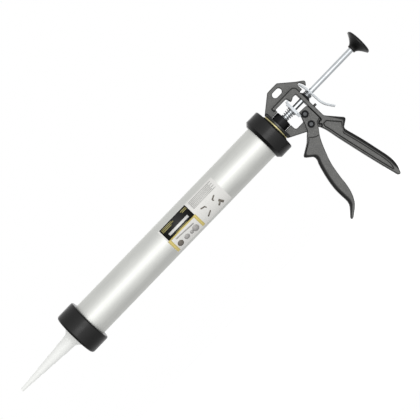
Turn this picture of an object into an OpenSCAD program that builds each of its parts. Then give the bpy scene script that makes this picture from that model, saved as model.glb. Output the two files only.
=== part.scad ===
// Caulking gun for foil packs: closed barrel, screwed nozzle ring, squeeze handle and push rod.
// X runs along the barrel axis from the nozzle outlet to the pull knob, and Z points up.
// The origin is the centre of the nozzle's outlet. Millimetres.

/* [Barrel] */
// Bore of the barrel tube, which takes the foil pack
tube_bore = 50; // [40:0.5:60]
// Wall of the barrel tube
tube_wall = 1.5; // [1.2:0.1:2.5]
// Length of the barrel tube
tube_len = 388; // [300:1:470]

/* [Nozzle] */
// Length of the nozzle in front of the screw ring
nozzle_reach = 106; // [70:1:150]
// Radius of the nozzle's outlet bore
outlet_r = 1.5; // [1:0.1:2.2]
// Length of the straight outlet bore
outlet_len = 6; // [3:0.5:10]
// Outer radius of the cone where its skirt starts
cone_r = 9.8; // [8:0.1:12]
// Outer radius of the neck that passes through the ring
neck_r = 17; // [14:0.5:19]
// Wall of the nozzle
nozzle_wall = 1.6; // [1.2:0.1:2]
// Thickness of the base flange that the ring clamps
base_t = 3; // [2:0.1:4]

/* [Screw ring and rear cap] */
// Thickness of the screw ring over the tube
ring_wall = 8.5; // [6:0.1:10]
// Length of the screw ring
ring_len = 30.7; // [24:0.1:40]
// Thickness of the ring's front wall
ring_face = 4; // [3:0.1:5]
// Rounding of the ring's front edge
ring_round = 4; // [2:0.1:4.5]
// Thickness of the rear cap over the tube
cap_wall = 8; // [6:0.1:10]
// Length of tube held in the rear cap
cap_grip = 20; // [14:0.5:26]
// Thickness of the rear cap's end wall at its rim
cap_end = 5; // [4:0.1:8]
// Height of the cap's shallow rear cone
cap_cone = 2; // [1:0.1:3]

/* [Swivel neck] */
// Radius of the threaded spigot
spigot_r = 10; // [9:0.1:10.5]
// Outer radius of the neck nut
nut_r = 12.5; // [12:0.1:13.5]
// Length of the neck nut
nut_len = 12; // [8:0.5:13]
// Radius of the thrust washer
washer_r = 21; // [15:0.5:22]
// Thickness of the thrust washer
washer_t = 1.5; // [1:0.1:2.5]

/* [Rod and piston] */
// Diameter of the push rod
rod_d = 8; // [7:0.1:9]
// Free length of rod between the frame's flange and the knob
rod_out = 150; // [120:1:200]
// Thickness of the piston disc
piston_t = 10; // [8:0.5:14]
// Radius of the pull knob's rim
knob_r = 20; // [15:0.5:24]
// Length of the pull knob
knob_len = 18.2; // [16:0.1:24]

/* [Frame] */
// Thickness of the frame's flange
flange_t = 3.8; // [3:0.1:5]
// Radius of the frame's flange
flange_r = 22.3; // [20:0.1:24]
// Thickness of the frame's web
web_t = 8; // [6:0.1:9]
// Width of the rail, the rear wall and both grips
body_w = 21; // [19:0.5:25]
// Height of the window above the rod
window_up = 17.2; // [16.5:0.1:18]
// Thickness of the rear wall
wall_t = 5.5; // [4.5:0.1:6]
// Length of both grips below their finger hooks
grip_len = 100; // [85:1:120]

/* [Drive] */
// Thickness of each gripping plate
plate_t = 2; // [1.5:0.1:2.6]
// Width of the gripping plates
plate_w = 18; // [14:0.5:20]
// Radius of the drive roller
roller_r = 4.2; // [3.6:0.1:5]
// Radius of both hinge pins
pin_r = 2.6; // [2:0.1:3]

/* [Release lever] */
// Thickness of the lever strip
lever_t = 2.4; // [2:0.1:2.8]
// Width of the lever strip
lever_w = 16; // [14:0.5:20]

/* [Hidden] */
$fn = 96;

running = 0.1;        // radial clearance of shafts, pins and threads that turn or slide
gap = 0.3;            // space between faces of pieces that move past each other
fork_gap = 0.4;       // space between the web and each of the trigger's cheeks

// Stations along the barrel axis
tube_r = tube_bore / 2 + tube_wall;
base_r = tube_r + 0.5;                        // rim of the nozzle's base flange
tube_x0 = nozzle_reach + ring_face + base_t;
tube_x1 = tube_x0 + tube_len;
cap_x0 = tube_x1 - cap_grip;
cap_x1 = tube_x1 + cap_end;
cap_back = cap_x1 + cap_cone;
frame_x = cap_back + washer_t + gap;          // front face of the frame's flange
nut_x = frame_x + flange_t + gap;
nut_back = nut_x + nut_len;

// Stations of the frame, measured from the front face of its flange
window_x0 = flange_t + gap + nut_len + 0.2;   // the window starts just behind the neck nut
window_x1 = 51.7;                             // front face of the rear wall
wall_x1 = window_x1 + wall_t;
window_down = 22.3;   // depth of the window below the rod
rail_t = 4.4;
wall_foot = -36;      // bottom of the rear wall
pivot = [36.3, -32.1];                        // trigger's hinge
drive = [40.3, -16.3];                        // pin that carries the roller
lever_pivot = [65, 18];
lug_x = 37.9;         // front of the lug that steadies the rear plate
stop_z = -17.4;
stop_len = 4.8;
stop_r = 1.8;

// Rod, knob and piston
rod_r = rod_d / 2;
knob_x = frame_x + rod_out;
reach_left = 78;      // rod travel still to go before the knob meets the lever
tip_x = tube_x0 + reach_left + 3;
thread_free = 2;
nut_t = 6.5;
washer_plate = 2;
piston_x = tip_x + thread_free + nut_t + washer_plate;
piston_r = tube_bore / 2 - gap;
knob_socket = 12;

// Drive plates
plate_x1 = drive[0] - roller_r - gap;         // rear face of the plates, just in front of the roller
plate_x0 = plate_x1 - 2 * plate_t;
tongue_z = -8;        // below this the plates are narrow
trigger_max = 24;     // degrees of squeeze

// ---- Drawing helpers ----

function unit(v) = v / norm(v);
function polar(r, a) = [r * cos(a), r * sin(a)];
function arc(c, r, a0, a1, n = 12) = [for (i = [0:n]) c + polar(r, a0 + (a1 - a0) * i / n)];

// One rounded corner at b, between the directions to a and c
function corner(a, b, c, r, n = 6) =
    let (u = unit(a - b), v = unit(c - b), half = acos(u * v) / 2)
    let (centre = b + unit(u + v) * r / sin(half))
    let (s = b + u * r / tan(half) - centre, e = b + v * r / tan(half) - centre)
    let (a0 = atan2(s[1], s[0]), turn = atan2(s[0] * e[1] - s[1] * e[0], s * e))
    [for (i = [0:n]) centre + polar(r, a0 + turn * i / n)];

// Outline through corner points [x, z, radius]
function rounded(p) = [
    for (i = [0:len(p) - 1])
        let (a = p[(i + len(p) - 1) % len(p)], b = p[i], c = p[(i + 1) % len(p)])
        each (b[2] > 0 ? corner([a[0], a[1]], [b[0], b[1]], [c[0], c[1]], b[2]) : [[b[0], b[1]]])
];

// Smooth curve through the points p
function knot(p, i) = p[max(0, min(len(p) - 1, i))];
function smooth_at(a, b, c, d, t) =
    0.5 * (2 * b + (c - a) * t + (2 * a - 5 * b + 4 * c - d) * t * t + (3 * b - a - 3 * c + d) * t * t * t);
function smooth(p, n = 5) = concat(
    [for (i = [0:len(p) - 2], s = [0:n - 1])
        smooth_at(knot(p, i - 1), p[i], p[i + 1], knot(p, i + 2), s / n)],
    [p[len(p) - 1]]);

// Outline of a strip of thickness t that follows the points p
function side(p, i, d) =
    let (t = unit(knot(p, i + 1) - knot(p, i - 1))) p[i] + [-t[1], t[0]] * d;
function strip(p, t) = concat(
    [for (i = [0:len(p) - 1]) side(p, i, t / 2)],
    [for (i = [len(p) - 1:-1:0]) side(p, i, -t / 2)]);

// A turned piece about the barrel axis, from points [x, radius]
module turned(p) {
    rotate([0, 90, 0]) rotate_extrude() polygon([for (q = p) [q[1], q[0]]]);
}

module rod_x(x0, x1, r) {
    translate([x0, 0, 0]) rotate([0, 90, 0]) cylinder(h = x1 - x0, r = r);
}

module ring_x(x0, x1, r, hole) {
    turned([[x0, hole], [x0, r], [x1, r], [x1, hole]]);
}

// A flat outline in the XZ plane, from y0 to y1
module slab(y0, y1) {
    rotate([90, 0, 0]) translate([0, 0, -y1]) linear_extrude(y1 - y0) children();
}

module both_sides(y0, y1) {
    slab(y0, y1) children();
    slab(-y1, -y0) children();
}

module pin_y(p, y0, y1, r) {
    translate([p[0], y1, p[1]]) rotate([90, 0, 0]) cylinder(h = y1 - y0, r = r);
}

module at_frame() {
    translate([frame_x, 0, 0]) children();
}

// A grip's outline comes in three runs of points. Only the second run, the edge that is rounded, draws
// back by s, and less so near the grip's tip. A stack of such slabs rounds that edge.
tip_fade = 14;
function fade(z, tip) = max(0, min(1, (z - tip) / tip_fade));
function grip_outline(runs, s = 0) =
    let (tip = min([for (q = runs[1]) q[1]]))
    concat(runs[0], [for (q = runs[1]) q - [s * fade(q[1], tip), 0]], runs[2]);

// How far a round of radius r has drawn back at depth d below the outer face
function drawn_back(r, d) = r - sqrt(r * r - pow(r - d, 2));

// way is 1 where the rounded edge faces +X, and -1 where it faces -X
module grip_stack(runs, way, r) {
    w = body_w / 2;
    depths = [0, 0.35, 0.9, 1.8, 3.2, 5, r];
    for (i = [0:len(depths) - 2])
        slab(-(w - depths[i]), w - depths[i])
            polygon(grip_outline(runs, way * drawn_back(r, depths[i + 1])));
}

// The part of a grip below z0 grows with grip_len
function grown(p, z0) = [for (q = p) q[1] < z0 ? [q[0], z0 + (q[1] - z0) * grip_len / 100] : q];

// ---- Barrel ----

module barrel_tube() {
    color("silver") ring_x(tube_x0, tube_x1, tube_r, tube_bore / 2);
}

label_len = 106;
label_back = 85;      // distance from the label's rear edge to the rear cap
label_t = 0.2;
label_up = 39;        // degrees above the middle of the side
label_down = 63;

module barrel_label() {
    x1 = cap_x0 - label_back;
    color("khaki") rotate([0, 90, 0]) rotate([0, 0, -(90 + label_up)])
        rotate_extrude(angle = label_up + label_down)
            translate([tube_r, x1 - label_len]) square([label_t, label_len]);
}

module rear_cap() {
    r = tube_r + cap_wall;
    lead = 4.5;
    edge = 2;
    color("dimgray") turned(concat(
        [[cap_x0, tube_r], [cap_x0, r - lead]],
        [[cap_x0 + lead, r]],
        arc([cap_x1 - edge, r - edge], edge, 90, 0, 6),
        [[cap_x1, washer_r + 5], [cap_back, washer_r + 0.5], [cap_back, spigot_r],
         [tube_x1, spigot_r], [tube_x1, tube_r]]));
}

module swivel_washer() {
    color("khaki") ring_x(cap_back, cap_back + washer_t, washer_r, spigot_r);
}

spigot_head_r = 18;
spigot_head_t = 3;
bush_wall = 2.4;
bush_lip = 1.5;       // thickness of the bush's lip inside the barrel
bush_r = rod_r + running + bush_wall;

module neck_spigot() {
    x0 = tube_x1 - spigot_head_t;
    chamfer = 0.6;
    color("slategray") turned([
        [x0, bush_r], [x0, spigot_head_r], [tube_x1, spigot_head_r], [tube_x1, spigot_r],
        [nut_back - chamfer, spigot_r], [nut_back, spigot_r - chamfer], [nut_back, bush_r]]);
}

module neck_nut() {
    chamfer = 0.8;
    color("dimgray") turned([
        [nut_x, spigot_r], [nut_x, nut_r - chamfer], [nut_x + chamfer, nut_r],
        [nut_back - chamfer, nut_r], [nut_back, nut_r - chamfer], [nut_back, spigot_r]]);
}

module rod_bush() {
    x1 = tube_x1 - spigot_head_t;
    x0 = x1 - bush_lip;
    lip_r = bush_r + 2.5;
    color("white") turned([
        [x0, rod_r + running], [x0, lip_r], [x1, lip_r], [x1, bush_r],
        [nut_back, bush_r], [nut_back, rod_r + running]]);
}

// ---- Front end ----

skirt_x = nozzle_reach - 11;
shoulder_x = nozzle_reach - 1.4;
steps = 4;

module nozzle() {
    tip_r = outlet_r + 0.9;
    step = 0.5;
    x2 = nozzle_reach + ring_face;
    step_at = [for (i = [1:steps]) skirt_x * i / (steps + 1)];
    slope = (cone_r - steps * step - tip_r) / skirt_x;
    color("whitesmoke") turned(concat(
        [[0, outlet_r], [0, tip_r]],
        [for (i = [0:steps - 1], k = [0, 1]) [step_at[i], tip_r + slope * step_at[i] + (i + k) * step]],
        [for (i = [0:6]) [skirt_x + (shoulder_x - skirt_x) * i / 6,
            cone_r + (neck_r - cone_r) * (1 - cos(90 * i / 6))]],
        [[x2, neck_r], [x2, base_r], [tube_x0, base_r], [tube_x0, neck_r - nozzle_wall]],
        [for (i = [6:-1:0]) [skirt_x + nozzle_wall + (shoulder_x - skirt_x) * i / 6,
            cone_r - nozzle_wall + (neck_r - cone_r) * (1 - cos(90 * i / 6))]],
        [[outlet_len, outlet_r]]));
}

module front_ring() {
    x0 = nozzle_reach;
    x1 = x0 + ring_len;
    r = tube_r + ring_wall;
    seat = base_r + gap;
    edge = 2.6;
    color("dimgray") turned(concat(
        [[x0, neck_r + gap]],
        arc([x0 + ring_round, r - ring_round], ring_round, 180, 90, 8),
        arc([x1 - edge, r - edge], edge, 90, 0, 5),
        [[x1, tube_r + running], [tube_x0 + gap, tube_r + running], [tube_x0 + gap, seat],
         [x0 + ring_face, seat], [x0 + ring_face, neck_r + gap]]));
}

// ---- Frame ----

rail_x0 = window_x0 - 3;
hang = [34.6, 32];
hang_len = 16;
hang_h = 9;
throat_r = 18.8;      // start of the solid grip below the trigger's fork
wide_r = 15.6;        // most of the wide handle stays outside this radius around the pivot
near_r = 11.4;        // and all of them stay outside this one

web_outline = rounded([
    [0, flange_r, 0], [25.4, 42, 4], [44, 42, 4], [64, 24.4, 12], [75, 16.3, 3], [70.4, 10.4, 1],
    [wall_x1 - 1, 10.4, 0], [wall_x1 - 1, -38, 0], [44.2, -47, 0], [41, -41.8, 1], [36, -44, 3],
    [26.4, -36.2, 3], [0, -flange_r, 0]]);

handle_round = 8;
hook_z = -72;
handle_front = smooth([
    [40.8, -41.2], [44.1, -46.9], [46.9, -56.7], [50, -74], [57.7, -111.6], [63.2, -137], [68.6, -160]]);
handle_rear = smooth([
    [75, -166.8], [78.4, -160], [80, -151], [79.5, -140], [77, -126], [71.4, -98], [65.2, -73]]);
handle_runs = [
    grown(concat(handle_front, arc([72.4, -167.2], 2, 205, 330, 6)), hook_z),
    grown(concat(handle_rear, [[64.9, -70], [66, -67.6], [74.2, -62.4], [76, -60.4], [75.6, -58]]), hook_z),
    [[wall_x1 + 0.4, wall_foot - 0.4], [wall_x1, wall_foot + 1], [wall_x1, wall_foot + 6],
     [window_x1, wall_foot + 6], [window_x1, wall_foot]]
];

module window_outline() {
    translate([window_x0, -window_down])
        polygon(rounded([[0, 0, 3.5], [window_x1 - window_x0, 0, 0],
            [window_x1 - window_x0, window_down + window_up, 0], [0, window_down + window_up, 1]]));
    translate([flange_t, -(nut_r + gap)])
        square([window_x0 - flange_t + 1, 2 * (nut_r + gap)]);
}

// Space that the roller sweeps as the trigger turns about its pivot
module roller_path() {
    for (a = [0:6:trigger_max])
        translate(pivot) rotate(a) translate(drive - pivot) circle(r = roller_r + gap);
}

module web_profile() {
    difference() {
        polygon(web_outline);
        window_outline();
        roller_path();
        translate(hang - [hang_len / 2 - hang_h / 2, 0]) circle(d = hang_h);
        translate(hang + [hang_len / 2 - hang_h / 2, 0]) circle(d = hang_h);
        translate(hang - [(hang_len - hang_h) / 2, hang_h / 2]) square([hang_len - hang_h, hang_h]);
        lever_slot();
    }
}

// Notch that takes the top of the release lever, wider at its mouth
module lever_slot() {
    polygon([[62.6, 5], [62.6, 18.8], [63.6, 20], [66.6, 20], [69.6, 13], [69.6, 5]]);
}

module rail_profile() {
    polygon(concat(
        [[rail_x0, window_up], [rail_x0, window_up + rail_t]],
        arc([wall_x1 - 6, window_up + rail_t - 6], 6, 90, 0, 6),
        [[wall_x1, wall_foot], [window_x1, wall_foot]],
        arc([window_x1 - 2, window_up - 2], 2, 0, 90, 4)));
}

module lug_profile() {
    polygon([[lug_x, window_up + 1], [lug_x, 14.6], [40, 9.1], [45.6, 12.1],
        [window_x1 + 1, 12.1], [window_x1 + 1, window_up + 1]]);
}

// Everything of the wide handle that would meet the trigger's cheeks
module cheek_space() {
    translate(pivot) {
        circle(r = near_r);
        difference() {
            circle(r = wide_r);
            polygon(concat([[0, 0]], arc([0, 0], 2 * wide_r, -43.5, -25, 4)));
        }
    }
}

module frame() {
    w = body_w / 2;
    panel_depth = 1.2;
    color("dimgray") at_frame() difference() {
        union() {
            ring_x(0, flange_t, flange_r, spigot_r + running);
            slab(-web_t / 2, web_t / 2) web_profile();
            slab(-w, w) rail_profile();
            slab(-w, w) lug_profile();
            difference() {
                grip_stack(handle_runs, 1, handle_round);
                slab(-w - 1, w + 1) cheek_space();
            }
            slab(-web_t / 2, web_t / 2) handle_root();
            wall_boss();
            lever_stop();
        }
        rod_x(-1, wall_x1 + boss_len + 1, rod_r + running);
        rod_x(-1, flange_t + 1, spigot_r + running);
        pin_y(pivot, -w, w, pin_r);
        both_sides(w - panel_depth, w + 1) handle_panel();
    }
}

// The web goes on inside the cheek space down to the grip
module handle_root() {
    intersection() {
        polygon(grip_outline(handle_runs));
        translate(pivot) circle(r = wide_r + 1);
    }
}

boss_len = 3.6;

module wall_boss() {
    turned([[window_x1 + 1, 0], [window_x1 + 1, 10], [wall_x1, 10], [wall_x1 + boss_len, rod_r + 1.4],
        [wall_x1 + boss_len, 0]]);
}

// Cast stop for the release lever on the back of the rear wall
module lever_stop() {
    translate([wall_x1 - 1, 0, stop_z]) rotate([0, 90, 0]) cylinder(h = stop_len + 1, r = stop_r);
}

// Shallow panel in each side of the handle, with a rim along the spine
module handle_panel() {
    rim = 6;
    lip = 2.6;
    polygon(grown(concat(
        [for (q = handle_front) if (q[1] < -48) q + [lip, 0]],
        [for (q = handle_rear) if (q[1] > -152) q - [rim, 0]],
        [[62, -68], [68.6, -60.4], [54.4, -43.4], [48.4, -43.6]]), hook_z));
}

clip_t = 1.2;
clip_r = 5.2;
pin_head_t = 1.8;
pin_end = 0.8;        // how far a pin's end stands out of its clip
pin_head_r = pin_r + 1.7;
cheek_step = 0.7;     // the fork's cheeks lie this far below the grip's sides
cheek_out = body_w / 2 - cheek_step;

module hinge_pin(p) {
    w = cheek_out + gap;
    color("silver") at_frame() {
        pin_y(p, -w - clip_t - pin_end, w, pin_r);
        pin_y(p, w, w + pin_head_t, pin_head_r);
    }
}

module clip(p) {
    w = cheek_out + gap;
    color("dimgray") at_frame() difference() {
        pin_y(p, -w - clip_t, -w, clip_r);
        pin_y(p, -w - clip_t - 1, -w + 1, pin_r);
    }
}

module pivot_pin() { hinge_pin(pivot); }
module pivot_clip() { clip(pivot); }

// ---- Trigger ----

// Outline points are measured from the pivot
trigger_round = 7;
trigger_hook_z = -40;
trigger_back = smooth([
    [4.4, -10], [1.7, -13.5], [-3.3, -20.1], [-8.4, -29.4], [-14.4, -43.2], [-20, -58.6], [-24.2, -79.5],
    [-25.6, -90.7], [-28.8, -104.6], [-34.6, -117], [-41, -123.9], [-47, -128.4]]);
trigger_front = smooth([
    [-53.3, -127.9], [-48, -122.3], [-43.7, -116.8], [-41.7, -110], [-41.9, -97], [-41.4, -85],
    [-38.6, -69], [-33.4, -50], [-29.8, -41.6]]);
trigger_runs = [
    grown(concat(
        [[0.9, 23.1], [2.1, 23.4], [12.6, 22.8], [13.8, 21.8], [14.8, 18], [14.9, -1.9], [8.1, -3.8]],
        trigger_back), trigger_hook_z),
    grown(concat(
        [[-52.4, -132.2], [-54.4, -132.9], [-55.7, -132.3], [-55.6, -130.9]], trigger_front,
        [[-29, -37.2], [-30.2, -34], [-37.8, -27.8], [-39.4, -25.6], [-38.4, -23.2],
         [-33.6, -20.4], [-22, -13.6]]), trigger_hook_z),
    [[-10.2, -2.9], [-4.6, 9.8]]
];

module fork_side() {
    intersection() {
        translate(pivot) polygon(grip_outline(trigger_runs));
        translate(pivot) translate([-24, -24]) square([60, 60]);
    }
}

// Everything of the grip that the fork's throat leaves free
module fork_space() {
    translate(pivot) {
        circle(r = throat_r);
        translate([-20, -8]) square([60, 60]);
    }
}

module trigger() {
    w = body_w / 2;
    fork_in = web_t / 2 + fork_gap;
    color("dimgray") at_frame() difference() {
        union() {
            both_sides(fork_in, cheek_out) fork_side();
            difference() {
                translate([pivot[0], 0, pivot[1]])
                    grip_stack(trigger_runs, -1, trigger_round);
                slab(-w - 1, w + 1) fork_space();
            }
        }
        pin_y(pivot, -w - 1, w + 1, pin_r + running);
        pin_y(drive, -w - 1, w + 1, pin_r);
    }
}

module drive_pin() { hinge_pin(drive); }
module drive_clip() { clip(drive); }

module drive_roller() {
    half = web_t / 2 + 0.1;
    color("silver") at_frame() difference() {
        pin_y(drive, -half, half, roller_r);
        pin_y(drive, -half - 1, half + 1, pin_r);
    }
}

// ---- Drive plates and springs ----

plate_lug_t = 2.4;    // flange bent back from the rear plate's top edge
rear_top = 14.6;      // half height of the rear plate

// A gripping plate is narrow below tongue_z, where it reaches down between the trigger's cheeks
module plate_blank(x0, top, bottom) {
    hole_r = rod_r + 2 * gap;
    tongue = web_t / 2;
    difference() {
        translate([x0, 0, 0]) rotate([90, 0, 90]) linear_extrude(plate_t) polygon([
            [-tongue, bottom], [tongue, bottom], [tongue, tongue_z], [plate_w / 2, tongue_z],
            [plate_w / 2, top], [-plate_w / 2, top], [-plate_w / 2, tongue_z], [-tongue, tongue_z]]);
        rod_x(x0 - 1, x0 + plate_t + 1, hole_r);
    }
}

module drive_plate_front() {
    color("silver") at_frame() plate_blank(plate_x0, 12, -13.4);
}

module drive_plate_rear() {
    x0 = plate_x0 + plate_t;
    color("silver") at_frame() {
        plate_blank(x0, rear_top, -rear_top);
        slab(-plate_w / 2, plate_w / 2)
            translate([x0, rear_top - plate_lug_t]) square([lug_x - gap - x0, plate_lug_t]);
    }
}

// Plain sleeve that holds the space of a coil spring
module spring_space(x0, x1, r0, r1, wire) {
    turned([[x0, r0 - wire], [x0, r0], [x1, r1], [x1, r1 - wire]]);
}

module return_spring() {
    wire = 1.2;
    narrow = rod_r + 1.9;
    wide = rod_r + 3.4;
    color("silver") spring_space(nut_back, frame_x + plate_x0, narrow, wide, wire);
}

lever_x = 67;         // middle of the lever where the release spring bears on it
lever_play = 0.9;     // space round the rod in the lever's hole
lever_path = smooth([
    lever_pivot, [lever_x, 8.4], [lever_x + 0.6, 0], [68.2, -14], [69, -21], [71.4, -28], [78.2, -38.5]], 4);

// The top of the lever is a round bead that turns in the frame's notch
module release_lever() {
    color("silver") at_frame() difference() {
        union() {
            slab(-lever_w / 2, lever_w / 2) polygon(strip(lever_path, lever_t));
            pin_y(lever_pivot, -lever_w / 2, lever_w / 2, lever_t / 2);
        }
        rod_x(wall_x1, lever_x + 12, rod_r + lever_play);
    }
}

module release_spring() {
    wire = 1;
    r = rod_r + 2.4;
    color("silver") at_frame() spring_space(wall_x1 + boss_len, lever_x - lever_t / 2 - gap, r, r, wire);
}

// ---- Rod ----

module push_rod() {
    chamfer = 0.8;
    x1 = knob_x + knob_socket;
    color("silver") turned([
        [tip_x, 0], [tip_x, rod_r - chamfer], [tip_x + chamfer, rod_r], [x1, rod_r], [x1, 0]]);
}

module pull_knob() {
    neck = 6.3;
    rim_x = knob_x + knob_len - 5;
    crown_x = knob_x + knob_len;
    color("dimgray") turned(concat(
        [[knob_x, rod_r], [knob_x, neck - 0.6], [knob_x + 0.6, neck]],
        [for (i = [0:8]) [knob_x + 2 + (rim_x - knob_x - 2) * i / 8,
            neck + (knob_r - neck) * pow(i / 8, 1.6)]],
        arc([rim_x + 1.5, knob_r - 1.5], 1.5, 90, 20, 4),
        [for (i = [0:6]) [rim_x + 3 + (crown_x - rim_x - 3) * sin(90 * i / 6),
            (knob_r - 1) * cos(90 * i / 6)]],
        [[knob_x + knob_socket, 0], [knob_x + knob_socket, rod_r]]));
}

groove_r = piston_r - 3.2;
groove_w = 4;

module piston() {
    x0 = piston_x;
    x1 = x0 + piston_t;
    g0 = (x0 + x1 - groove_w) / 2;
    g1 = g0 + groove_w;
    lip = 1;
    color("dimgray") turned([
        [x0, rod_r], [x0, piston_r - lip], [x0 + lip, piston_r], [g0, piston_r], [g0, groove_r],
        [g1, groove_r], [g1, piston_r], [x1 - lip, piston_r], [x1, piston_r - lip], [x1, rod_r]]);
}

module piston_seal() {
    x0 = piston_x + (piston_t - groove_w) / 2;
    color("black") ring_x(x0, x0 + groove_w, piston_r, groove_r);
}

module piston_washers() {
    r = 16;
    color("silver") {
        ring_x(piston_x - washer_plate, piston_x, r, rod_r);
        ring_x(piston_x + piston_t, piston_x + piston_t + washer_plate, r, rod_r);
    }
}

module hex_nut(x) {
    across_corners = 15;
    difference() {
        translate([x, 0, 0]) rotate([0, 90, 0]) cylinder(h = nut_t, d = across_corners, $fn = 6);
        rod_x(x - 1, x + nut_t + 1, rod_r);
    }
}

module piston_nuts() {
    color("silver") {
        hex_nut(piston_x - washer_plate - nut_t);
        hex_nut(piston_x + piston_t + washer_plate);
    }
}

barrel_tube();
barrel_label();
rear_cap();
swivel_washer();
neck_spigot();
neck_nut();
rod_bush();
nozzle();
front_ring();
frame();
pivot_pin();
pivot_clip();
trigger();
drive_pin();
drive_clip();
drive_roller();
drive_plate_front();
drive_plate_rear();
return_spring();
release_lever();
release_spring();
push_rod();
pull_knob();
piston();
piston_seal();
piston_washers();
piston_nuts();
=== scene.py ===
"""Looks of a caulking gun for foil packs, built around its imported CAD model.

X runs along the barrel from the nozzle's outlet to the pull knob, and Z points up. Metres.
"""

import math

import bmesh
import bpy
from bpy.props import FloatProperty, FloatVectorProperty, IntProperty, PointerProperty
from mathutils import Matrix, Vector


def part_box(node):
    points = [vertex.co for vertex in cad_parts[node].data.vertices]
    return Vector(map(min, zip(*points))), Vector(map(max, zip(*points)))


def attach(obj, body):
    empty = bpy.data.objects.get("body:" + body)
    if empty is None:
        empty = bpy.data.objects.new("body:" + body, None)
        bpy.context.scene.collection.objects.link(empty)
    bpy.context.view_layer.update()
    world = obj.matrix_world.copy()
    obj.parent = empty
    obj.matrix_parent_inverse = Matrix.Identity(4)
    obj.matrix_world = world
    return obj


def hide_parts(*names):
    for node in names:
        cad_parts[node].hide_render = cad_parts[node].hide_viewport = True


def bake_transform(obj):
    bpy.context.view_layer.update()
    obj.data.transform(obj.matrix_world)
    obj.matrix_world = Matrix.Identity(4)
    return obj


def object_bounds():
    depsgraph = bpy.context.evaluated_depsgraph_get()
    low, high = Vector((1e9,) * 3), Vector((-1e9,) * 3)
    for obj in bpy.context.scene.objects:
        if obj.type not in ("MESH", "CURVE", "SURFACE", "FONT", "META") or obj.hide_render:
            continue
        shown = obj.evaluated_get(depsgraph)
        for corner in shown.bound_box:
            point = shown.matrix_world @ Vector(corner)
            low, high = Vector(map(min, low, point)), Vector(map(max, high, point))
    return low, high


bl_info = {
    "name": "Caulking Gun",
    "version": (1, 0, 0),
    "blender": (4, 5, 0),
    "location": "3D View > Sidebar > Caulking Gun",
    "description": "Finishes, springs, label and studio for a foil pack caulking gun",
    "category": "Object",
}

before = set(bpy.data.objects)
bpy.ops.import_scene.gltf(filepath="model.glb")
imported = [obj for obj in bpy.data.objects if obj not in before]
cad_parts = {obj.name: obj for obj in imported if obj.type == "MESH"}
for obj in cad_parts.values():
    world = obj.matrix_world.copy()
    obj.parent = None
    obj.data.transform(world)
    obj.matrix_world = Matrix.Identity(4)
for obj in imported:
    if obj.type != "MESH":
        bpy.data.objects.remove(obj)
cad_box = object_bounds()

MM = 0.001

# The studio, in metres and degrees
GUN_MIDDLE = Vector((0.3627, 0, -0.01))
LAMPS = (
    # name, distance (minus is in front), height, share of the key light's power, width
    ("key_light", -3.3, 0.25, 1.0, 1.5),
    ("back_light", 3.3, 0.8, 0.5, 1.8),
)
CAMERA_PLACE = Vector((0.3627, -2.65, -0.01395))
CAMERA_ROLL = 46            # lifts the knob to the upper right
LENS_MM = 163
SENSOR_MM = 36
FLOOR_R = 1.3
UPPER_SHARE = 0.12          # by how much the light from above outshines the mean, and from below falls short


# ---- Small helpers ----

def linear(code):
    """An sRGB hex colour as linear RGBA."""
    parts = [int(code[i : i + 2], 16) / 255 for i in (1, 3, 5)]
    return tuple(
        c / 12.92 if c <= 0.04045 else ((c + 0.055) / 1.055) ** 2.4 for c in parts
    ) + (1.0,)


def add(tree, kind, inputs=None, **settings):
    """Adds a node with its settings, and fills its inputs with values or with other nodes' outputs."""
    node = tree.nodes.new(kind)
    for name, value in settings.items():
        setattr(node, name, value)
    for key, value in (inputs or {}).items():
        if isinstance(value, bpy.types.NodeSocket):
            tree.links.new(value, node.inputs[key])
        else:
            node.inputs[key].default_value = value
    return node


def scaled(colour, share):
    """The colour made darker, or lighter where the share is over 1, as RGBA."""
    return [min(1.0, c * share) for c in colour[:3]] + [1.0]


def colour_property(name, description, code):
    return FloatVectorProperty(
        name=name, description=description, subtype="COLOR", size=3, min=0, max=1, default=linear(code)[:3]
    )


def length_property(name, description, mm):
    return FloatProperty(
        name=name, description=description, default=mm * MM, min=0, unit="LENGTH", precision=5
    )


def number_property(name, description, value, least=0):
    return FloatProperty(name=name, description=description, default=value, min=least)


# ---- Sizes and colours that a user would change ----

class CaulkingGunFinishes(bpy.types.PropertyGroup):
    """Colours of the gun's finishes"""

    paint: colour_property("Paint", "Powder coat of the frame and the trigger", "#6E6E6C")
    tube: colour_property("Tube", "Drawn aluminium of the barrel", "#F2F3EF")
    plastic: colour_property("Plastic", "Moulded ring, cap and knob", "#0C0C0C")
    zinc: colour_property("Zinc", "Plated rod, lever and plates", "#C9CDD0")
    washer: colour_property("Washer", "Yellow passivated thrust washer", "#D9CF9A")
    nozzle: colour_property("Nozzle", "Natural polyethylene of the nozzle", "#FEFFFC")
    film: colour_property("Film", "Unprinted film of the label", "#FCFBF7")
    ink_dark: colour_property("Dark ink", "Header of the label", "#1A1A18")
    ink_warm: colour_property("Warm ink", "Borders of the label", "#F2DE86")


class CaulkingGunSizes(bpy.types.PropertyGroup):
    """Sizes of the parts that are drawn here"""

    cast_grid: length_property("Cast grid", "Grid that the castings are rounded on", 0.6)
    cast_passes: IntProperty(
        name="Cast passes", description="Smoothing passes over the castings' edges",
        default=5, min=0, max=20,
    )
    return_wire: length_property("Return wire", "Wire of the return spring", 1.2)
    return_turns: number_property("Return turns", "Turns of the return spring", 5.5, 2)
    return_taper: length_property("Return taper", "Lost radius at the return spring's front end", 1.5)
    release_wire: length_property("Release wire", "Wire of the release spring", 1.0)
    release_turns: number_property("Release turns", "Turns of the release spring", 3.0, 2)
    ink_lift: length_property("Ink lift", "Height of the label's print over its film", 0.06)


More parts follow.
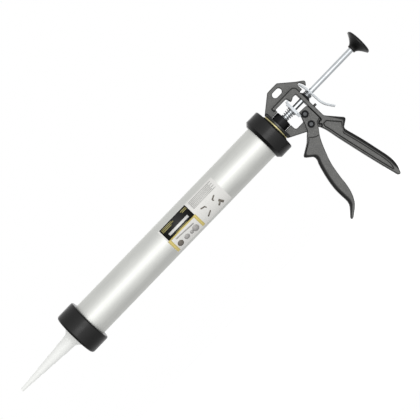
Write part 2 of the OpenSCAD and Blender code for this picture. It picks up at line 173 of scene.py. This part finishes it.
class CaulkingGunStudio(bpy.types.PropertyGroup):
    """Studio round the gun"""

    floor: colour_property("Floor", "Pale floor", "#FFFFFF")
    floor_drop: length_property("Floor drop", "Room for the trigger's tip under the grips", 40)
    key_power: number_property("Key light", "Power of the large front light in watts", 13)
    front_light: number_property("Front light", "Brightness in front of the gun", 1.18)
    back_light: number_property("Back light", "Brightness behind the gun", 0.8)
    side_light: number_property("Side light", "Brightness above and below the gun", 0.62)
    end_light: number_property("End light", "Brightness past the gun's ends", 0.04)


# ---- Materials ----

def shader(name):
    """An empty node material: its tree, its Principled shader and the place on the object in metres."""
    material = bpy.data.materials.new(name)
    material.use_nodes = True
    tree = material.node_tree
    tree.nodes.clear()
    bsdf = add(tree, "ShaderNodeBsdfPrincipled")
    add(tree, "ShaderNodeOutputMaterial", {"Surface": bsdf.outputs["BSDF"]})
    place = add(tree, "ShaderNodeTexCoord").outputs["Object"]
    return material, tree, bsdf, place


def grain(tree, place, mm, detail=2.0, rough=0.5):
    """Noise whose marks measure mm = (along x, y, z) millimetres."""
    spread = add(tree, "ShaderNodeMapping", {"Vector": place, "Scale": [1 / (s * MM) for s in mm]})
    return add(
        tree, "ShaderNodeTexNoise",
        {"Vector": spread.outputs["Vector"], "Scale": 1.0, "Detail": detail, "Roughness": rough},
    ).outputs["Fac"]


def between(tree, fac, low, high, start=0.3, end=0.7):
    """A number that runs from low to high as fac runs from start to end."""
    return add(
        tree, "ShaderNodeMapRange",
        {"Value": fac, "From Min": start, "From Max": end, "To Min": low, "To Max": high}, clamp=True,
    ).outputs["Result"]


def mixed(tree, fac, first, second):
    """The first colour where fac is 0 and the second where it is 1."""
    return add(
        tree, "ShaderNodeMix", {"Factor": fac, "A": first, "B": second}, data_type="RGBA"
    ).outputs["Result"]


def tinted(tree, fac, colour, darkest):
    """The colour, darkened to the share darkest where fac is 0."""
    return mixed(tree, fac, scaled(colour, darkest), scaled(colour, 1))


def relief(tree, bsdf, height, depth_mm):
    """Bump of the given depth on the shader."""
    bump = add(tree, "ShaderNodeBump", {"Strength": 1.0, "Distance": depth_mm * MM, "Height": height})
    tree.links.new(bump.outputs["Normal"], bsdf.inputs["Normal"])


def drawn_aluminium(look):
    # Drawn through a die and etched: faint lines run along the tube and the sheen is satin
    material, tree, bsdf, place = shader("drawn_aluminium")
    lines = grain(tree, place, (90, 0.9, 0.9), 3, 0.6)
    cloud = grain(tree, place, (35, 12, 12), 3)
    both = add(tree, "ShaderNodeMath", {0: lines, 1: cloud}, operation="ADD").outputs[0]
    wear = add(tree, "ShaderNodeMath", {0: both, 1: 0.5}, operation="MULTIPLY").outputs[0]
    tone = tinted(tree, between(tree, wear, 0, 1, 0.35, 0.65), look.tube, 0.9)
    tree.links.new(tone, bsdf.inputs["Base Color"])
    tree.links.new(between(tree, wear, 0.46, 0.56, 0.35, 0.65), bsdf.inputs["Roughness"])
    bsdf.inputs["Metallic"].default_value = 1.0
    relief(tree, bsdf, lines, 0.006)
    return material


def powder_coat(look):
    # Zinc casting under textured powder: fine orange peel and tiny pale specks with a low sheen. The rounds
    # and the walls, whose normals turn away from the flat side faces, carry painted shade a tenth as bright
    # as the paint
    material, tree, bsdf, place = shader("powder_coated_casting")
    peel = grain(tree, place, (1.1, 1.1, 1.1), 3, 0.6)
    specks = grain(tree, place, (1.3, 1.3, 1.3), 2, 0.6)
    shade = grain(tree, place, (9, 9, 9), 4, 0.6)
    normal = add(tree, "ShaderNodeTexCoord").outputs["Normal"]
    sideways = add(tree, "ShaderNodeSeparateXYZ", {0: normal}).outputs["Y"]
    facing = add(tree, "ShaderNodeMath", {0: sideways}, operation="ABSOLUTE").outputs[0]
    # Painted shade mask: 1 on the flat side faces, whose normals point along Y, and 0 on the rounds and the
    # walls
    flat = between(tree, facing, 0, 1, 0.94, 0.998)
    spot = between(tree, specks, 0, 1, 0.52, 0.68)
    face = tinted(tree, between(tree, shade, 0, 1), look.paint, 0.74)
    speckled = mixed(tree, spot, face, scaled(look.paint, 1.5))
    # Painted shade: the rounds and the walls get the paint at a tenth of its brightness
    coat = mixed(tree, flat, scaled(look.paint, 0.1), speckled)
    tree.links.new(coat, bsdf.inputs["Base Color"])
    tree.links.new(between(tree, peel, 0.42, 0.56), bsdf.inputs["Roughness"])
    bsdf.inputs["IOR"].default_value = 1.5
    relief(tree, bsdf, peel, 0.05)
    return material


def moulded_plastic(name, colour, gloss):
    # Spark-eroded mould: a fine even grain that breaks up the highlight
    material, tree, bsdf, place = shader(name)
    pits = grain(tree, place, (0.8, 0.8, 0.8), 2)
    flow = grain(tree, place, (14, 14, 14), 3)
    tree.links.new(tinted(tree, between(tree, flow, 0, 1), colour, 0.75), bsdf.inputs["Base Color"])
    tree.links.new(between(tree, flow, gloss - 0.05, gloss + 0.07), bsdf.inputs["Roughness"])
    bsdf.inputs["IOR"].default_value = 1.5
    bsdf.inputs["Specular IOR Level"].default_value = 0.42
    relief(tree, bsdf, pits, 0.03)
    return material


def plated_steel(name, colour, rough, along=(30, 0.5, 0.5), depth_mm=0.008):
    # Zinc plated or blackened over drawn, turned or stamped steel: fine lines and a slightly clouded sheen
    material, tree, bsdf, place = shader(name)
    lines = grain(tree, place, along, 3, 0.6)
    cloud = grain(tree, place, (26, 14, 14), 3)
    tree.links.new(tinted(tree, between(tree, cloud, 0, 1), colour, 0.9), bsdf.inputs["Base Color"])
    tree.links.new(between(tree, cloud, rough + 0.08, rough - 0.04), bsdf.inputs["Roughness"])
    bsdf.inputs["Metallic"].default_value = 1.0
    relief(tree, bsdf, lines, depth_mm)
    return material


def natural_polyethylene(look):
    # Moulded without pigment: milky and waxy, with faint rings from the turned mould. A weak glow stands for
    # the light that passes through the wall
    material, tree, bsdf, place = shader("natural_polyethylene")
    rings = grain(tree, place, (1.6, 60, 60), 2)
    flow = grain(tree, place, (16, 8, 8), 3)
    tree.links.new(tinted(tree, between(tree, flow, 0, 1), look.nozzle, 0.97), bsdf.inputs["Base Color"])
    tree.links.new(between(tree, flow, 0.3, 0.42), bsdf.inputs["Roughness"])
    bsdf.inputs["IOR"].default_value = 1.51
    bsdf.inputs["Emission Color"].default_value = scaled(look.nozzle, 1)
    bsdf.inputs["Emission Strength"].default_value = 0.1
    relief(tree, bsdf, rings, 0.006)
    return material


def printed_film(name, colour, rough=0.38):
    # Vinyl film printed in solid ink: slightly uneven ink over a smooth, softly glossy skin
    material, tree, bsdf, place = shader(name)
    mottle = grain(tree, place, (1.4, 1.4, 1.4), 3)
    ripple = grain(tree, place, (11, 11, 11), 2)
    tree.links.new(tinted(tree, between(tree, mottle, 0, 1), colour, 0.93), bsdf.inputs["Base Color"])
    tree.links.new(between(tree, ripple, rough - 0.04, rough + 0.06), bsdf.inputs["Roughness"])
    bsdf.inputs["IOR"].default_value = 1.5
    relief(tree, bsdf, ripple, 0.03)
    return material


def moulded_rubber():
    # Nitrile ring: matt black with a faint bloom
    material, tree, bsdf, place = shader("nitrile_rubber")
    bloom = grain(tree, place, (5, 5, 5), 3)
    tone = tinted(tree, between(tree, bloom, 0, 1), linear("#242424"), 0.6)
    tree.links.new(tone, bsdf.inputs["Base Color"])
    tree.links.new(between(tree, bloom, 0.6, 0.8), bsdf.inputs["Roughness"])
    relief(tree, bsdf, grain(tree, place, (0.6, 0.6, 0.6)), 0.02)
    return material


def dress(names, material):
    """Gives the material to CAD nodes."""
    for name in names:
        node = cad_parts[name]
        node.data.materials.clear()
        node.data.materials.append(material)


# ---- Mesh pieces ----

def place_piece(bm, name, material, body=None):
    """Turns a bmesh into a shaded piece that rides on a CAD body."""
    bmesh.ops.recalc_face_normals(bm, faces=bm.faces)
    mesh = bpy.data.meshes.new(name)
    bm.to_mesh(mesh)
    bm.free()
    mesh.shade_smooth()
    mesh.materials.append(material)
    piece = bpy.data.objects.new(name, mesh)
    bpy.context.scene.collection.objects.link(piece)
    if body:
        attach(piece, body)
    return piece


def coil(name, x0, x1, r0, r1, wire, turns, material, sides=10, steps=28):
    """A coil spring along X from x0 to x1, whose outer radius runs from r0 to r1, with closed flat ends."""
    bm = bmesh.new()
    closed = 0.9            # turns at each end that lie against the next
    play = 1.02             # pitch of the closed turns, in wires
    count = int(turns * steps)
    pitch_room = (x1 - x0) - wire
    tight = min(closed * wire * play, pitch_room / 3)
    rings = []
    for i in range(count + 1):
        turn = turns * i / count
        if turn < closed:
            x = tight * turn / closed
        elif turn > turns - closed:
            x = pitch_room - tight * (turns - turn) / closed
        else:
            x = tight + (pitch_room - 2 * tight) * (turn - closed) / (turns - 2 * closed)
        radius = r0 + (r1 - r0) * x / pitch_room - wire / 2
        angle = 2 * math.pi * turn
        out = Vector((0, math.sin(angle), math.cos(angle)))
        centre = Vector((x0 + wire / 2 + x, 0, 0)) + out * radius
        rings.append([
            bm.verts.new(centre + wire / 2 * (Vector((1, 0, 0)) * math.cos(a) + out * math.sin(a)))
            for a in (2 * math.pi * k / sides for k in range(sides))
        ])
    for a, b in zip(rings, rings[1:]):
        for k in range(sides):
            bm.faces.new((a[k], a[(k + 1) % sides], b[(k + 1) % sides], b[k]))
    bm.faces.new(rings[0])
    bm.faces.new(reversed(rings[-1]))
    return place_piece(bm, name, material)


def soften(node, width, angle=35):
    """Breaks a stamped or turned node's sharp edges."""
    bevel = node.modifiers.new("broken_edge", "BEVEL")
    bevel.width = width
    bevel.segments = 2
    bevel.limit_method = "ANGLE"
    bevel.angle_limit = math.radians(angle)
    bevel.harden_normals = False


def round_castings(node, grid, passes):
    """Gives a casting's edges the small round that a mould leaves."""
    remesh = node.modifiers.new("cast_skin", "REMESH")
    remesh.mode = "VOXEL"
    remesh.voxel_size = grid
    remesh.use_smooth_shade = True
    smooth = node.modifiers.new("cast_edges", "SMOOTH")
    smooth.factor = 0.5
    smooth.iterations = passes


# The label's outlines, in millimetres: x along the barrel, z as seen from the side
FILM_R = 26.7
STRIP = 1.2                 # width of the flat strips that ink is bent in
DOT_SIDES = 20


def box(x0, x1, z0, z1):
    return [(x0, z0), (x1, z0), (x1, z1), (x0, z1)]


def dot(x, z, rx, rz):
    turns = (2 * math.pi * i / DOT_SIDES for i in range(DOT_SIDES))
    return [(x + rx * math.cos(turn), z + rz * math.sin(turn)) for turn in turns]


def bar(x0, z0, x1, z1, w):
    """A slanted bar between two points."""
    run = Vector((x1 - x0, z1 - z0)).normalized() * w / 2
    side = Vector((-run.y, run.x))
    return [
        (x0 - side.x, z0 - side.y), (x1 - side.x, z1 - side.y),
        (x1 + side.x, z1 + side.y), (x0 + side.x, z0 + side.y),
    ]


HEADER = [box(292.6, 343.2, -3.0, 16.4)]
WARM_LINES = [
    box(294.6, 314.0, 13.6, 14.6), box(294.6, 316.6, 11.7, 12.8), box(294.6, 311.0, 9.7, 10.8),
    box(331.4, 342.0, 12.9, 14.0), box(333.0, 342.0, 10.8, 11.9), box(308.0, 330.0, -2.3, -1.6),
]
WARM_BORDER = [
    box(290.4, 295.2, -22.6, -3.0), box(339.8, 344.4, -22.6, -3.0), box(295.2, 339.8, -5.0, -3.0),
]
PALE_BAR = [box(299.0, 336.0, 0.6, 4.4)]
GREY_SHAPES = [
    bar(301.0, -8.0, 334.0, -10.2, 1.8), dot(314.6, -16.6, 4.4, 3.4), dot(323.6, -16.8, 2.8, 2.6),
    dot(331.4, -16.8, 5.2, 4.6),
]
DARK_SHAPES = [dot(302.0, -16.6, 4.8, 4.0)]
FAINT_ROWS = [
    box(348.0, 391.0 - 5 * (i % 2), z, z + 1.0) for i, z in enumerate((13.6, 11.8, 10.0, 8.2, 6.4, 4.6, 2.8))
]
MARKS = [
    bar(354.6, -3.6, 361.6, -5.6, 2.0), bar(361.0, -5.4, 362.2, -8.2, 1.6),
    bar(374.4, -6.6, 381.2, -3.4, 2.0), bar(374.6, -6.8, 376.4, -8.8, 1.6),
    bar(354.6, -18.4, 363.0, -14.6, 2.0), bar(376.0, -18.6, 380.0, -16.2, 2.6),
    bar(380.6, -12.6, 384.8, -19.4, 3.6),
]
PRINT = (
    # piece, outlines, layers of ink under it, ink
    ("label_header", HEADER, 0, "black"),
    ("label_borders", WARM_BORDER, 0, "warm"),
    ("label_header_lines", WARM_LINES, 1, "olive"),
    ("label_header_bar", PALE_BAR, 1, "pale"),
    ("label_shapes", GREY_SHAPES, 0, "grey"),
    ("label_dark_shape", DARK_SHAPES, 0, "deep_grey"),
    ("label_rows", FAINT_ROWS, 0, "faint"),
    ("label_marks", MARKS, 0, "deep_grey"),
)


def printed(name, outlines, level, material, lift):
    """Ink in the given outlines, bent round the film; level stacks one ink on another."""
    bm = bmesh.new()
    for outline in outlines:
        bm.faces.new([bm.verts.new((x, FILM_R * math.asin(z / FILM_R), 0)) for x, z in outline])
    arcs = [v.co.y for v in bm.verts]
    cut = math.floor(min(arcs) / STRIP) + 1
    while cut * STRIP < max(arcs):
        whole = bm.verts[:] + bm.edges[:] + bm.faces[:]
        bmesh.ops.bisect_plane(bm, geom=whole, plane_co=(0, cut * STRIP, 0), plane_no=(0, 1, 0))
        cut += 1
    top = bmesh.ops.extrude_face_region(bm, geom=bm.faces[:], use_keep_orig=True)["geom"]
    base = FILM_R * MM + level * lift
    for v in bm.verts:
        raised = v in top
        angle = v.co.y / FILM_R
        r = base + (lift if raised else 0)
        v.co = (v.co.x * MM, -r * math.cos(angle), r * math.sin(angle))
    return place_piece(bm, name, material, "barrel")


# ---- Operators ----

class CAULK_OT_barrel(bpy.types.Operator):
    """Finish the barrel tube, its rear cap and the swivel neck"""

    bl_idname = "caulk.barrel"
    bl_label = "Barrel"

    def execute(self, context):
        look = context.scene.caulk_finishes
        dress(["barrel_tube"], drawn_aluminium(look))
        dress(["rear_cap"], moulded_plastic("moulded_nylon_cap", look.plastic, 0.28))
        dress(["swivel_washer"], plated_steel("yellow_passivated_steel", look.washer, 0.38, (0.5, 6, 6)))
        black = plated_steel("black_oxide_steel", linear("#2A2A2B"), 0.34, (0.4, 8, 8))
        dress(["neck_spigot", "neck_nut"], black)
        dress(["rod_bush"], moulded_plastic("moulded_acetal_bush", linear("#DADAD4"), 0.4))
        return {"FINISHED"}


class CAULK_OT_label(bpy.types.Operator):
    """Finish the label film and print its plain blocks"""

    bl_idname = "caulk.label"
    bl_label = "Label"

    def execute(self, context):
        look = context.scene.caulk_finishes
        lift = context.scene.caulk_sizes.ink_lift
        dress(["barrel_label"], printed_film("label_film", look.film))
        colours = {
            "black": look.ink_dark, "warm": look.ink_warm, "olive": linear("#B9B072"),
            "pale": linear("#FDFDFA"), "grey": linear("#C6C4C1"), "deep_grey": linear("#857E74"),
            "faint": linear("#D4D4D0"),
        }
        inks = {name: printed_film(f"label_ink_{name}", colour) for name, colour in colours.items()}
        for name, outlines, level, ink in PRINT:
            printed(name, outlines, level, inks[ink], lift)
        return {"FINISHED"}


class CAULK_OT_front(bpy.types.Operator):
    """Finish the nozzle and the screw ring"""

    bl_idname = "caulk.front"
    bl_label = "Nozzle and ring"

    def execute(self, context):
        look = context.scene.caulk_finishes
        dress(["nozzle"], natural_polyethylene(look))
        dress(["front_ring"], moulded_plastic("moulded_nylon_ring", look.plastic, 0.28))
        return {"FINISHED"}


class CAULK_OT_castings(bpy.types.Operator):
    """Round and coat the frame and the trigger"""

    bl_idname = "caulk.castings"
    bl_label = "Castings"

    def execute(self, context):
        sizes = context.scene.caulk_sizes
        coat = powder_coat(context.scene.caulk_finishes)
        for name in ("frame", "trigger"):
            dress([name], coat)
            round_castings(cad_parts[name], sizes.cast_grid, sizes.cast_passes)
        return {"FINISHED"}


class CAULK_OT_fasteners(bpy.types.Operator):
    """Finish the pins, their clips and the roller"""

    bl_idname = "caulk.fasteners"
    bl_label = "Pins and clips"

    def execute(self, context):
        look = context.scene.caulk_finishes
        # Painted shade: the pins and the roller take the zinc at a fifth of its colour, standing in for the
        # dark reflection on their ends
        turned = plated_steel("turned_zinc_steel", scaled(look.zinc, 0.2), 0.46, (6, 0.4, 6))
        dress(["pivot_pin", "drive_pin", "drive_roller"], turned)
        for name in ("pivot_pin", "drive_pin"):
            soften(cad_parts[name], 0.7 * MM, 60)
        dress(["pivot_clip", "drive_clip"], plated_steel("black_spring_clip", linear("#1E1E1F"), 0.4))
        return {"FINISHED"}


class CAULK_OT_drive(bpy.types.Operator):
    """Finish the gripping plates and the release lever"""

    bl_idname = "caulk.drive"
    bl_label = "Plates and lever"

    def execute(self, context):
        look = context.scene.caulk_finishes
        stamped = plated_steel("stamped_zinc_plate", scaled(look.zinc, 0.85), 0.4, (0.3, 5, 0.3))
        dress(["drive_plate_front", "drive_plate_rear"], stamped)
        bent = plated_steel("bent_zinc_strip", scaled(look.zinc, 0.7), 0.36, (0.5, 0.5, 14))
        dress(["release_lever"], bent)
        for name in ("drive_plate_front", "drive_plate_rear", "release_lever"):
            soften(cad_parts[name], 0.5 * MM)
        return {"FINISHED"}


class CAULK_OT_springs(bpy.types.Operator):
    """Wind the return spring and the release spring"""

    bl_idname = "caulk.springs"
    bl_label = "Springs"

    def execute(self, context):
        look, sizes = context.scene.caulk_finishes, context.scene.caulk_sizes
        wire = plated_steel("drawn_spring_wire", scaled(look.zinc, 0.75), 0.28, (0.4, 0.4, 0.4))
        for node, far, wire_d, turns, taper in (
            ("return_spring", "drive", sizes.return_wire, sizes.return_turns, sizes.return_taper),
            ("release_spring", "lever", sizes.release_wire, sizes.release_turns, 0),
        ):
            low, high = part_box(node)
            wide = high[2]
            piece = coil(f"{node}_coil", low[0], high[0], wide - taper, wide, wire_d, turns, wire)
            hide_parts(node)
            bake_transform(piece)
        return {"FINISHED"}


class CAULK_OT_rod(bpy.types.Operator):
    """Finish the push rod, its knob and the piston"""

    bl_idname = "caulk.rod"
    bl_label = "Rod and piston"

    def execute(self, context):
        look = context.scene.caulk_finishes
        # Painted light: the rod takes the zinc lifted to 1.22 times, standing in for the light on its
        # rounded sides
        painted_light_zinc = plated_steel("zinc_rod_painted_lighter", scaled(look.zinc, 1.22), 0.29, (60, 0.7, 0.7), 0.002)
        dress(["push_rod"], painted_light_zinc)
        dress(["pull_knob"], moulded_plastic("moulded_abs_knob", look.plastic, 0.3))
        dress(["piston"], moulded_plastic("moulded_nylon_piston", look.plastic, 0.4))
        dress(["piston_seal"], moulded_rubber())
        dress(["piston_washers", "piston_nuts"], plated_steel("zinc_hardware", look.zinc, 0.3, (0.5, 4, 4)))
        return {"FINISHED"}


class CAULK_OT_studio(bpy.types.Operator):
    """Lay the floor, and set the light and the camera"""

    bl_idname = "caulk.studio"
    bl_label = "Studio"

    def execute(self, context):
        scene, studio = context.scene, context.scene.caulk_studio
        scene.view_settings.view_transform = "Standard"
        self.floor(studio)
        self.sky(scene, studio)
        self.lamps(studio)
        self.camera(scene)
        return {"FINISHED"}

    def floor(self, studio):
        # Painted board: even and matt, with a trace of roller texture
        material, tree, bsdf, place = shader("painted_board")
        roller = grain(tree, place, (9, 9, 9), 2)
        colour = scaled(studio.floor, 1)
        tree.links.new(tinted(tree, roller, colour, 0.99), bsdf.inputs["Base Color"])
        bsdf.inputs["Roughness"].default_value = 0.9
        bsdf.inputs["Specular IOR Level"].default_value = 0.0
        bsdf.inputs["Emission Color"].default_value = colour
        bsdf.inputs["Emission Strength"].default_value = 0.55
        bm = bmesh.new()
        x, y = ((a + b) / 2 for a, b in list(zip(*cad_box))[:2])
        centre = Matrix.Translation((x, y, cad_box[0][2] - studio.floor_drop))
        bmesh.ops.create_circle(bm, cap_ends=True, segments=128, radius=FLOOR_R, matrix=centre)
        floor = place_piece(bm, "floor", material)
        floor.visible_diffuse = False
        floor.visible_glossy = False
        floor.visible_transmission = False

    def sky(self, scene, studio):
        """White to look at. As a light it is brightest in front, and dark past the gun's ends."""
        world = bpy.data.worlds.new("studio")
        scene.world = world
        world.use_nodes = True
        tree = world.node_tree
        tree.nodes.clear()
        way = add(tree, "ShaderNodeTexCoord").outputs["Generated"]
        along = add(tree, "ShaderNodeSeparateXYZ", {0: way}).outputs
        depth = between(tree, along["Y"], studio.front_light, studio.back_light, -1, 1)
        below, above = (studio.side_light * (1 + share) for share in (-UPPER_SHARE, UPPER_SHARE))
        height = between(tree, along["Z"], below, above, -1, 1)
        levels = add(tree, "ShaderNodeCombineXYZ", {"X": studio.end_light, "Y": depth, "Z": height})
        shares = add(tree, "ShaderNodeVectorMath", {0: way, 1: way}, operation="MULTIPLY")
        level = add(
            tree, "ShaderNodeVectorMath", {0: shares.outputs["Vector"], 1: levels.outputs["Vector"]},
            operation="DOT_PRODUCT",
        ).outputs["Value"]
        light = add(tree, "ShaderNodeBackground", {"Color": (1, 1, 1, 1), "Strength": level})
        white = add(tree, "ShaderNodeBackground", {"Color": (1, 1, 1, 1), "Strength": 1.0})
        ray = add(tree, "ShaderNodeLightPath").outputs["Is Camera Ray"]
        both = add(
            tree, "ShaderNodeMixShader",
            {0: ray, 1: light.outputs["Background"], 2: white.outputs["Background"]},
        )
        add(tree, "ShaderNodeOutputWorld", {"Surface": both.outputs["Shader"]})

    def lamps(self, studio):
        """One large soft light round the camera and a weaker one behind the gun."""
        for name, y, z, share, width in LAMPS:
            lamp = bpy.data.lights.new(name, "AREA")
            lamp.energy = studio.key_power * share
            lamp.size = width
            piece = bpy.data.objects.new(name, lamp)
            piece.location = (GUN_MIDDLE.x, y, z)
            piece.rotation_euler = (GUN_MIDDLE - piece.location).to_track_quat("-Z", "Y").to_euler()
            bpy.context.scene.collection.objects.link(piece)

    def camera(self, scene):
        """Level with the barrel, and rolled so that the knob points up and to the right."""
        lens = bpy.data.cameras.new("camera")
        lens.lens = LENS_MM
        lens.sensor_width = SENSOR_MM
        lens.clip_end = 50
        view = bpy.data.objects.new("camera", lens)
        roll = math.radians(CAMERA_ROLL)
        right = Vector((math.cos(roll), 0, -math.sin(roll)))
        up = Vector((math.sin(roll), 0, math.cos(roll)))
        turn = Matrix((right, up, right.cross(up))).transposed().to_4x4()
        view.matrix_world = Matrix.Translation(CAMERA_PLACE) @ turn
        scene.collection.objects.link(view)
        scene.camera = view


class CAULK_PT_panel(bpy.types.Panel):
    """Makes the caulking gun's pieces"""

    bl_idname = "CAULK_PT_panel"
    bl_label = "Caulking Gun"
    bl_space_type = "VIEW_3D"
    bl_region_type = "UI"
    bl_category = "Caulking Gun"

    def draw(self, context):
        for operator in OPERATORS:
            self.layout.operator(operator.bl_idname)
        for group in ("caulk_finishes", "caulk_sizes", "caulk_studio"):
            settings = getattr(context.scene, group)
            for name in settings.bl_rna.properties.keys():
                if name not in ("rna_type", "name"):
                    self.layout.prop(settings, name)


OPERATORS = (
    CAULK_OT_studio, CAULK_OT_barrel, CAULK_OT_label, CAULK_OT_front, CAULK_OT_castings,
    CAULK_OT_fasteners, CAULK_OT_drive, CAULK_OT_springs, CAULK_OT_rod,
)
CLASSES = (CaulkingGunFinishes, CaulkingGunSizes, CaulkingGunStudio, *OPERATORS, CAULK_PT_panel)


def register():
    for item in CLASSES:
        bpy.utils.register_class(item)
    bpy.types.Scene.caulk_finishes = PointerProperty(type=CaulkingGunFinishes)
    bpy.types.Scene.caulk_sizes = PointerProperty(type=CaulkingGunSizes)
    bpy.types.Scene.caulk_studio = PointerProperty(type=CaulkingGunStudio)


def unregister():
    for name in ("caulk_finishes", "caulk_sizes", "caulk_studio"):
        delattr(bpy.types.Scene, name)
    for item in reversed(CLASSES):
        bpy.utils.unregister_class(item)


def main():
    register()
    for operator in OPERATORS:
        group, name = operator.bl_idname.split(".")
        getattr(getattr(bpy.ops, group), name)()


if __name__ == "__main__":
    main()
